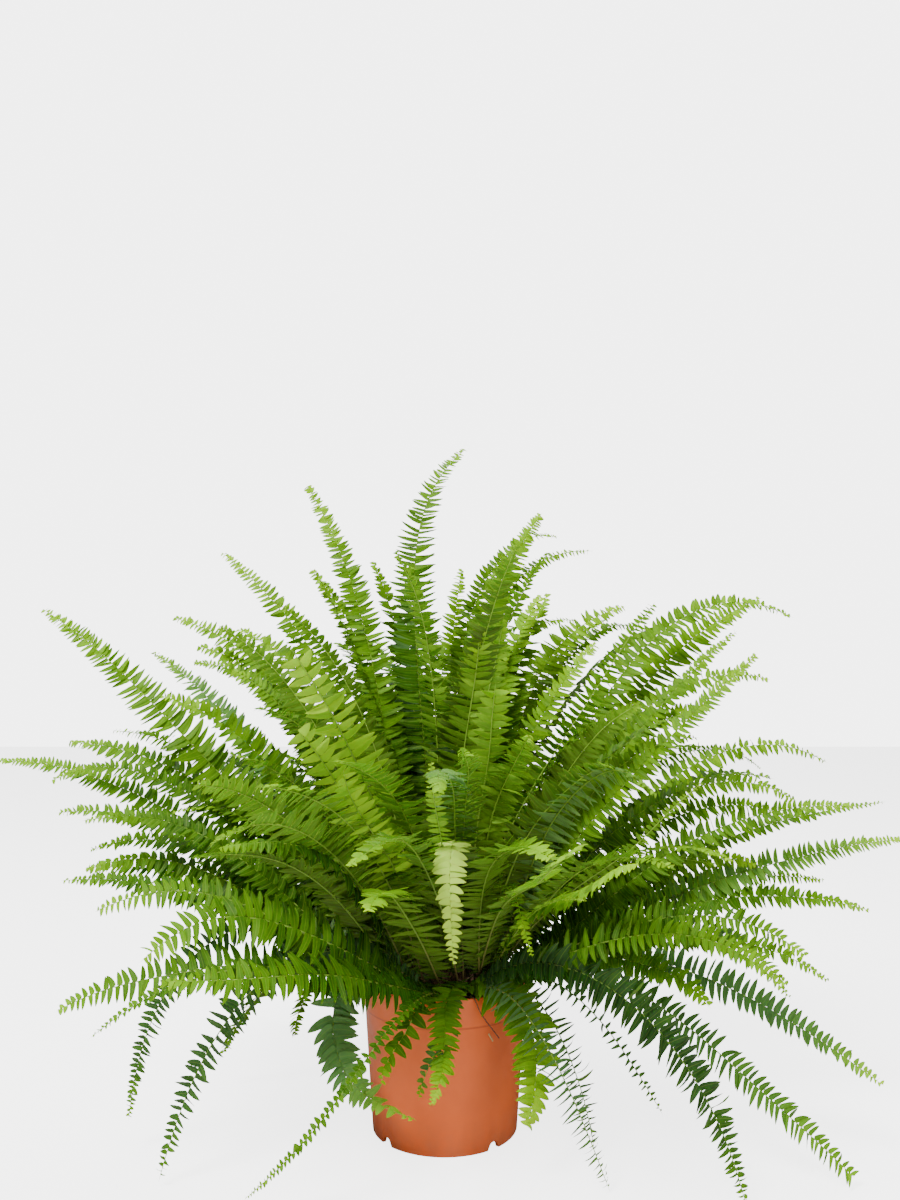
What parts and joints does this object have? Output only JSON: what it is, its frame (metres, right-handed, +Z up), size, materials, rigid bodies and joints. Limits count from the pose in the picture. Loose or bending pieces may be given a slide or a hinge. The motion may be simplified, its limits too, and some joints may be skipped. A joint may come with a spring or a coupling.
{
  "type": "potted fern",
  "caption": "Leafy sword fern in a round plastic nursery pot, with long arching fronds that rise, spread all round and trail over the rim.",
  "frame": {"origin": "middle of the pot's foot, on the surface it stands on", "axes": "+Z up, +X to the right across the wider spread of the fronds, -Y towards the viewer"},
  "size_m": [0.914, 0.7574, 0.697],
  "materials": {
    "pot": "terracotta-coloured moulded polypropylene, satin, with fine mould texture",
    "compost": "dark, damp, fibrous compost of peat and bark",
    "frond": "soft living leaf, yellow-green at the tips and deeper green within, faintly glossy"
  },
  "bodies": {
    "root": {"pot": "pot", "compost": "compost", "fronds_outer_01": "frond", "fronds_outer_02": "frond", "fronds_outer_03": "frond", "fronds_outer_04": "frond", "fronds_outer_05": "frond", "fronds_outer_06": "frond", "fronds_outer_07": "frond", "fronds_outer_08": "frond", "fronds_outer_09": "frond", "fronds_outer_10": "frond", "fronds_outer_11": "frond", "fronds_outer_12": "frond", "fronds_outer_13": "frond", "fronds_outer_14": "frond", "fronds_outer_15": "frond", "fronds_outer_16": "frond", "fronds_outer_17": "frond", "fronds_outer_18": "frond", "fronds_outer_19": "frond", "fronds_outer_20": "frond", "fronds_outer_21": "frond", "fronds_outer_22": "frond", "fronds_middle_01": "frond", "fronds_middle_02": "frond", "fronds_middle_03": "frond", "fronds_middle_04": "frond", "fronds_middle_05": "frond", "fronds_middle_06": "frond", "fronds_middle_07": "frond", "fronds_middle_08": "frond", "fronds_middle_09": "frond", "fronds_middle_10": "frond", "fronds_middle_11": "frond", "fronds_middle_12": "frond", "fronds_middle_13": "frond", "fronds_middle_14": "frond", "fronds_middle_15": "frond", "fronds_middle_16": "frond", "fronds_inner_01": "frond", "fronds_inner_02": "frond", "fronds_inner_03": "frond", "fronds_inner_04": "frond", "fronds_inner_05": "frond", "fronds_inner_06": "frond", "fronds_inner_07": "frond", "fronds_inner_08": "frond", "fronds_inner_09": "frond", "fronds_inner_10": "frond", "fronds_inner_11": "frond", "fronds_inner_12": "frond", "fronds_heart_01": "frond", "fronds_heart_02": "frond", "fronds_heart_03": "frond", "fronds_heart_04": "frond", "fronds_heart_05": "frond", "fronds_heart_06": "frond", "fronds_heart_07": "frond"}
  },
  "joints": []
}
